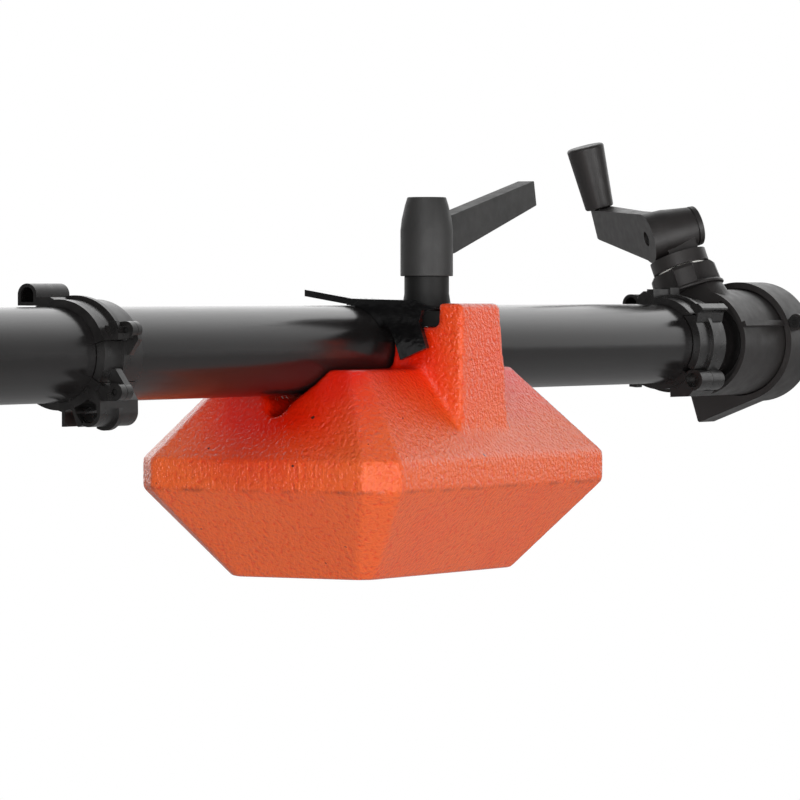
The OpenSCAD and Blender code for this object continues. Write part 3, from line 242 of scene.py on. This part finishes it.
def mix(add, kind, fac, a, b):
    """Mixes two numbers or colours, as the kind says."""
    node = add("ShaderNodeMix", data_type=kind)
    for key, value in (("Factor", fac), ("A", a), ("B", b)):
        plug(next(s for s in node.inputs if s.name == key and s.enabled), value)
    return next(s for s in node.outputs if s.enabled)


def blend(add, fac, a, b):
    """Mixes two colours, each a socket or three numbers."""
    a, b = (c if isinstance(c, bpy.types.NodeSocket) else (*c, 1.0) for c in (a, b))
    return mix(add, "RGBA", fac, a, b)


def bumps(add, layers):
    """A chain of bumps, each (height, strength, depth in metres)."""
    below = {}
    for height, strength, depth in layers:
        bump = add("ShaderNodeBump", {"Height": height, "Strength": strength, "Distance": depth,
                                      **below})
        below = {"Normal": bump.outputs["Normal"]}
    return below["Normal"]


def worn_edges(add, at, lo=0.53):
    """Where convex edges rub bare, broken up by noise."""
    geo = add("ShaderNodeNewGeometry")
    edge = levels(add, geo.outputs["Pointiness"], lo, 0.60)
    patch = levels(add, grain(add, at, RUB, 4.0), 0.42, 0.62)
    return calc(add, "MULTIPLY", edge, patch)


def shade(tint, k):
    return tuple(min(1.0, c * k) for c in tint)


def moulded(name, tint, rough, grit=0.00045, depth=0.00006, wear=1.6, spec=0.5):
    """Moulded plastic or powder coat: fine grit, faint mottling, pale rubbed edges."""
    mat, add, wire = finish_tree(name)
    at = place(add)
    cloud = levels(add, grain(add, at, MOTTLE, 4.0), 0.3, 0.7)
    base = blend(add, cloud, shade(tint, MOTTLE_DARK), shade(tint, MOTTLE_PALE))
    wire("Base Color", blend(add, worn_edges(add, at), base, shade(tint, wear)))
    wire("Roughness", levels(add, grain(add, at, SMEAR, 5.0), 0.3, 0.7,
                             rough - SMEAR_ROUGH, rough + SMEAR_ROUGH))
    wire("Specular IOR Level", spec)
    wire("Normal", bumps(add, [(grain(add, at, grit, 2.0), 0.35, depth),
                               (grain(add, at, WAVE, 2.0), 0.12, WAVE_DEPTH)]))
    return mat


def metal(name, tint, rough, along=(1, 1, 1), wear=1.3, shine=1.0, spec=0.5):
    """Turned or drawn metal: fine lines along one axis and faint stains."""
    mat, add, wire = finish_tree(name)
    at = place(add)
    lines = grain(add, place(add, along), LINES, 4.0, 0.6)
    cloud = levels(add, grain(add, at, STAIN, 5.0), 0.3, 0.7)
    base = blend(add, cloud, shade(tint, STAIN_DARK), tint)
    wire("Base Color", blend(add, worn_edges(add, at), base, shade(tint, wear)))
    wire("Metallic", shine)
    wire("Specular IOR Level", spec)
    wire("Roughness", levels(add, lines, 0.3, 0.7, rough - 0.03, rough + 0.05))
    wire("Normal", bumps(add, [(lines, 0.12, LINES_DEPTH)]))
    return mat


def cast_enamel(tint, painted_shade_red):
    """Thick enamel on a sand casting: orange peel, pits, a scuffed parting line, a ground band, and
    painted shade near the tube and in the peel's hollows.
    """
    mat, add, wire = finish_tree("cast_enamel")
    at = place(add)
    spot = add("ShaderNodeSeparateXYZ", {"Vector": add("ShaderNodeTexCoord").outputs["Object"]})
    height = spot.outputs["Z"]

    def off(z):
        return calc(add, "ABSOLUTE", calc(add, "SUBTRACT", height, z))

    peel = grain(add, at, PEEL, 2.5, 0.55)
    fine = grain(add, at, FINE, 2.0, 0.5)
    sand = add("ShaderNodeTexVoronoi", {"Vector": at, "Scale": SAND_CELLS}).outputs["Distance"]
    # Painted shade: the enamel is painted a deeper red the nearer it is to the tube, where the tube
    # shades it
    off_axis = add("ShaderNodeCombineXYZ", {"Y": spot.outputs["Y"],
                                            "Z": calc(add, "SUBTRACT", height, TUBE_Z)})
    away = add("ShaderNodeVectorMath", {0: off_axis.outputs[0]},
               operation="LENGTH").outputs["Value"]
    cloud = levels(add, grain(add, at, CLOUD, 4.0), 0.3, 0.72, -0.12, 0.12)
    lit_share = calc(add, "ADD", levels(add, away, SHADED_TO, LIT_FROM), cloud, use_clamp=True)
    base = blend(add, lit_share, painted_shade_red, tint)
    # Painted shade: the hollows of the orange peel are painted a darker red
    hollows = levels(add, peel, 0.30, 0.46, 0.45, 0.0)
    base = blend(add, hollows, base, shade(painted_shade_red, 0.9))
    pits = levels(add, grain(add, at, PIT, 1.0), 0.215, 0.20)
    base = blend(add, pits, base, PIT_COLOUR)
    line = levels(add, off(PARTING_Z), SCUFF_HALF, 0.0)
    chips = levels(add, grain(add, at, SCUFF, 6.0, 0.8), 0.42, 0.66, 0.0, 0.8)
    base = blend(add, calc(add, "MULTIPLY", line, chips), base, SCUFF_COLOUR)
    marks = grain(add, place(add, GRIND_DOWN), GRIND, 3.0, 0.6)
    band = levels(add, off(BAND_Z), BAND_HALF, BAND_FULL, 0.0, 0.45)
    pale = calc(add, "MULTIPLY", levels(add, marks, 0.56, 0.66), band)
    base = blend(add, pale, base, shade(tint, 1.35))
    rubbed = calc(add, "MULTIPLY", worn_edges(add, at, 0.535), 0.3)
    wire("Base Color", blend(add, rubbed, base, shade(tint, 1.25)))
    wire("Roughness", levels(add, fine, 0.3, 0.7, 0.10, 0.2))
    wire("Specular IOR Level", 0.5)
    flow = levels(add, away, SMOOTH_TO, ROUGH_FROM, 0.35, 1.0)
    wire("Normal", bumps(add, [(peel, flow, PEEL_DEPTH), (fine, 0.45, SAND_DEPTH),
                               (sand, 0.14, SAND_DEPTH), (marks, band, GRIND_DEPTH)]))
    return mat


def make_finishes(look):
    """A material for each slot."""
    return {
        "cast_orange": cast_enamel(look.enamel, look.enamel_painted_shade),
        "tube_black": metal("tube_black", look.tube, 0.2, along=(0.02, 1, 1), wear=1.8, shine=0.0),
        "tube_grey": metal("tube_grey", (0.42, 0.42, 0.43), 0.3, along=(0.02, 1, 1)),
        "satin_black": moulded("satin_black", look.clip, 0.30, depth=0.00003),
        "nylon_grey": moulded("nylon_grey", look.nylon, 0.46),
        "lever_grey": moulded("lever_grey", look.lever, 0.56, grit=0.0007, depth=0.00009),
        "blackened": moulded("gloss_black", (0.003, 0.003, 0.0032), 0.1, grit=0.005, depth=0.0006,
                             wear=4.0, spec=0.4),
        "gunmetal": moulded("gunmetal", (0.045, 0.046, 0.049), 0.5, grit=0.0007, depth=0.00009),
        "steel": metal("steel", (0.62, 0.62, 0.63), 0.27),
        "dark_steel": metal("dark_steel", (0.008, 0.0078, 0.0076), 0.55, along=(0.03, 0.03, 1),
                            shine=0.0, spec=0.3),
        "brass": metal("brass", (0.72, 0.50, 0.20), 0.26),
        "white_nylon": moulded("white_nylon", (0.78, 0.77, 0.73), 0.4, wear=1.1),
        "friction": moulded("friction", (0.20, 0.14, 0.09), 0.8, grit=0.0012, depth=0.0002),
    }


FINISH = {}


def dress(obj, node):
    obj.data.materials.clear()
    obj.data.materials.append(FINISH[SLOT_OF[node]])


def smooth(obj):
    for poly in obj.data.polygons:
        poly.use_smooth = True


def as_object(bm, name):
    """Puts a finished mesh in the scene under a name."""
    mesh = bpy.data.meshes.new(name)
    bm.to_mesh(mesh)
    bm.free()
    obj = bpy.data.objects.new(name, mesh)
    bpy.context.scene.collection.objects.link(obj)
    return obj


def as_piece(node):
    """A node's own solid, with its facets joined, as the piece that stands for the node."""
    bm = bmesh.new()
    bm.from_mesh(NODES[node].data)
    bmesh.ops.remove_doubles(bm, verts=bm.verts, dist=WELD)
    bmesh.ops.dissolve_limit(bm, angle_limit=FLAT, use_dissolve_boundaries=False, verts=bm.verts,
                             edges=bm.edges)
    obj = as_object(bm, node + "_piece")
    smooth(obj)
    dress(obj, node)
    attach(obj, BODY_OF[node])
    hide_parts(node)
    return obj


def eased(node, width):
    """A node's piece with its hard edges rounded."""
    obj = as_piece(node)
    bevel = obj.modifiers.new("edges", "BEVEL")
    bevel.width = width
    bevel.segments = 3
    bevel.limit_method = "ANGLE"
    bevel.angle_limit = SHARP
    bevel.use_clamp_overlap = True
    normals = obj.modifiers.new("normals", "WEIGHTED_NORMAL")
    normals.keep_sharp = False
    normals.weight = 80


def applied(obj):
    """Bakes an object's modifiers into its mesh."""
    bpy.context.view_layer.update()
    deps = bpy.context.evaluated_depsgraph_get()
    mesh = bpy.data.meshes.new_from_object(obj.evaluated_get(deps))
    old = obj.data
    obj.modifiers.clear()
    obj.data = mesh
    bpy.data.meshes.remove(old)


def sink_top(obj, depth):
    """Lowers the top of a flat piece."""
    top = max(v.co.z for v in obj.data.vertices) - depth
    for v in obj.data.vertices:
        v.co.z = min(v.co.z, top)


class Maker(bpy.types.Operator):
    """Rounds its nodes, each row by its share of the moulded edge"""
    bl_options = {"REGISTER", "UNDO"}
    rounding = ()

    def execute(self, context):
        self.make(context.scene)
        return {"FINISHED"}

    def make(self, scene):
        for share, nodes in self.rounding:
            for node in nodes:
                eased(node, scene.boom_shape.edge * share)


class BOOM_OT_weight(Maker):
    """Cast counterweight with rounded edges and fillets"""
    bl_idname = "boom.weight"
    bl_label = "Counterweight"

    def make(self, scene):
        obj = as_piece("counterweight")
        grid = obj.modifiers.new("grid", "REMESH")
        grid.mode = "VOXEL"
        grid.voxel_size = scene.boom_shape.cast_voxel
        applied(obj)
        soft = obj.modifiers.new("round", "SMOOTH")
        soft.factor = 0.5
        soft.iterations = scene.boom_shape.cast_round
        applied(obj)
        smooth(obj)
        dress(obj, "counterweight")


class BOOM_OT_weight_clamp(Maker):
    """Saddle plate, clamp bar and lever of the counterweight"""
    bl_idname = "boom.weight_clamp"
    bl_label = "Weight clamp"
    rounding = (
        (1.4, ("saddle_plate",)),
        (1.0, ("clamp_bar",)),
        (1.6, ("weight_lever",)),
        (0.6, ("weight_lever_insert", "lever_washer", "lever_stud")),
    )

    def make(self, scene):
        super().make(scene)
        sink_top(bpy.data.objects["lever_washer_piece"], WASHER_SINK)


class BOOM_OT_clips(Maker):
    """Cable clips with their latches and pins"""
    bl_idname = "boom.clips"
    bl_label = "Cable clips"
    rounding = (
        (0.7, ("front_clip", "front_clip_latch", "rear_clip", "rear_clip_latch")),
        (0.5, ("front_clip_pins", "rear_clip_pin")),
    )


class BOOM_OT_rear_unit(Maker):
    """Rear housing, end cap, screws and locking knob"""
    bl_idname = "boom.rear_unit"
    bl_label = "Rear unit"
    rounding = (
        (0.7, ("housing_upper", "housing_lower", "end_cap")),
        (1.4, ("lock_knob",)),
        (0.3, ("housing_screws", "cap_screws", "shaft_bush", "brake_washer")),
    )


class BOOM_OT_crank(Maker):
    """Folding crank with its grip"""
    bl_idname = "boom.crank"
    bl_label = "Crank"
    rounding = (
        (1.6, ("crank_hub",)),
        (2.0, ("crank_arm",)),
        (1.0, ("crank_grip",)),
        (0.4, ("crank_screw", "grip_pin", "crank_shaft", "crank_pinion")),
    )


class BOOM_OT_tubes(Maker):
    """Main tube, front tube and what guides and locks them"""
    bl_idname = "boom.tubes"
    bl_label = "Tubes"
    rounding = (
        (0.6, ("main_tube", "front_tube")),
        (1.4, ("extension_collar", "extension_knob")),
        (0.5, ("front_bush", "guide_bush", "brake_pad", "collar_screws", "rod_bearings", "drive_rod",
               "rod_gear", "drive_sleeve", "sleeve_bush")),
    )


class BOOM_OT_stand(Maker):
    """Stand socket, tube clamp, pivot bolt and their handles"""
    bl_idname = "boom.stand"
    bl_label = "Stand head"
    rounding = (
        (1.8, ("stand_socket", "clamp_lower", "clamp_upper", "tilt_lever", "socket_knob")),
        (0.6, ("pivot_bolt", "friction_discs", "tilt_lever_insert", "clamp_screws")),
    )


class BOOM_OT_lamp_head(Maker):
    """Worm housing, tilt fork and spigot at the front"""
    bl_idname = "boom.lamp_head"
    bl_label = "Lamp head"
    rounding = (
        (1.4, ("head_shell_left", "head_shell_right", "tilt_fork")),
        (0.5, ("head_screws", "lamp_spigot", "tilt_shaft", "worm_wheel", "worm_thread")),
    )


def add_camera(scene):
    """A long lens that looks along the boom from beyond its lamp end."""
    cam = bpy.data.cameras.new("view")
    cam.sensor_width = SENSOR
    cam.lens = FOCAL_PX / PIXELS * SENSOR
    cam.clip_end = SIGHT
    eye = bpy.data.objects.new("view", cam)
    scene.collection.objects.link(eye)
    level = math.cos(DIP)
    ahead = Vector((math.sin(SWING) * level, math.cos(SWING) * level, -math.sin(DIP)))
    right = Vector((math.cos(SWING), -math.sin(SWING), 0))
    turn = Matrix((right, right.cross(ahead), -ahead)).transposed().to_4x4()
    eye.matrix_world = Matrix.Translation(EYE) @ turn
    scene.camera = eye


def add_floor(height):
    """A wide floor that lights the boom as grey and shows white to the camera."""
    bm = bmesh.new()
    bmesh.ops.create_grid(bm, x_segments=1, y_segments=1, size=FLOOR_HALF)
    bmesh.ops.translate(bm, verts=bm.verts, vec=(0, 0, height))
    floor = as_object(bm, "floor")
    mat, add, wire = finish_tree("floor_white")
    wire("Base Color", (FLOOR_GREY, FLOOR_GREY, FLOOR_GREY, 1))
    wire("Roughness", 0.9)
    seen = add("ShaderNodeLightPath").outputs["Is Camera Ray"]
    grey = mat.node_tree.nodes["Principled BSDF"].outputs[0]
    glow = add("ShaderNodeEmission", {"Color": (1, 1, 1, 1), "Strength": 1.0}).outputs[0]
    both = add("ShaderNodeMixShader", {0: seen, 1: grey, 2: glow})
    plug(mat.node_tree.nodes["Material Output"].inputs["Surface"], both.outputs[0])
    floor.data.materials.append(mat)


def add_lamp(scene, name, watts, side, at, to):
    lamp = bpy.data.lights.new(name, "AREA")
    lamp.shape = "SQUARE"
    lamp.size = side
    lamp.energy = watts
    lit = bpy.data.objects.new(name, lamp)
    scene.collection.objects.link(lit)
    lit.location = at
    lit.rotation_euler = (Vector(to) - Vector(at)).to_track_quat("-Z", "Y").to_euler()


def add_room(scene, room, back):
    """Surroundings that brighten behind the boom and show white to the camera."""
    world = bpy.data.worlds.new("surroundings")
    scene.world = world
    world.use_nodes = True
    light = world.node_tree.nodes["Background"]
    add = node_maker(world.node_tree)
    way = add("ShaderNodeTexCoord").outputs["Generated"]
    depth = add("ShaderNodeVectorMath", {0: way, 1: (math.sin(SWING), math.cos(SWING), 0)},
                operation="DOT_PRODUCT").outputs["Value"]
    backdrop = levels(add, depth, BACK_FROM, BACK_TO, 0.0, back, "SMOOTHSTEP")
    seen = add("ShaderNodeLightPath").outputs["Is Camera Ray"]
    plug(light.inputs["Strength"], mix(add, "FLOAT", seen, calc(add, "ADD", backdrop, room), 1.0))
    plug(light.inputs["Color"], (1, 1, 1, 1))


class BOOM_OT_stage(Maker):
    """Camera, floor, lights and white surroundings"""
    bl_idname = "boom.stage"
    bl_label = "Stage"

    def make(self, scene):
        stage = scene.boom_stage
        add_camera(scene)
        add_floor(stage.floor)
        for name, side, at, to in LAMPS:
            add_lamp(scene, name, getattr(stage, name), side, at, to)
        add_room(scene, stage.room, stage.back)
        scene.view_settings.view_transform = "Standard"


class BOOM_PT_panel(bpy.types.Panel):
    bl_label = "Lighting boom"
    bl_idname = "BOOM_PT_panel"
    bl_space_type = "VIEW_3D"
    bl_region_type = "UI"
    bl_category = "Boom"

    def draw(self, context):
        for name, _ in GROUPS:
            box = self.layout.box()
            data = getattr(context.scene, name)
            for key in data.__annotations__:
                box.prop(data, key)
        for cls in OPERATORS:
            self.layout.operator(cls.bl_idname)


OPERATORS = (BOOM_OT_stage, BOOM_OT_weight, BOOM_OT_weight_clamp, BOOM_OT_clips, BOOM_OT_rear_unit,
             BOOM_OT_crank, BOOM_OT_tubes, BOOM_OT_stand, BOOM_OT_lamp_head)
GROUPS = (("boom_finish", BoomFinish), ("boom_shape", BoomShape), ("boom_stage", BoomStage))


def register():
    for name, cls in GROUPS:
        bpy.utils.register_class(cls)
        setattr(bpy.types.Scene, name, PointerProperty(type=cls))
    for cls in OPERATORS + (BOOM_PT_panel,):
        bpy.utils.register_class(cls)


def unregister():
    for cls in reversed(OPERATORS + (BOOM_PT_panel,)):
        bpy.utils.unregister_class(cls)
    for name, cls in reversed(GROUPS):
        delattr(bpy.types.Scene, name)
        bpy.utils.unregister_class(cls)


def main():
    register()
    FINISH.update(make_finishes(bpy.context.scene.boom_finish))
    for cls in OPERATORS:
        group, name = cls.bl_idname.split(".")
        getattr(getattr(bpy.ops, group), name)()


if __name__ == "__main__":
    main()
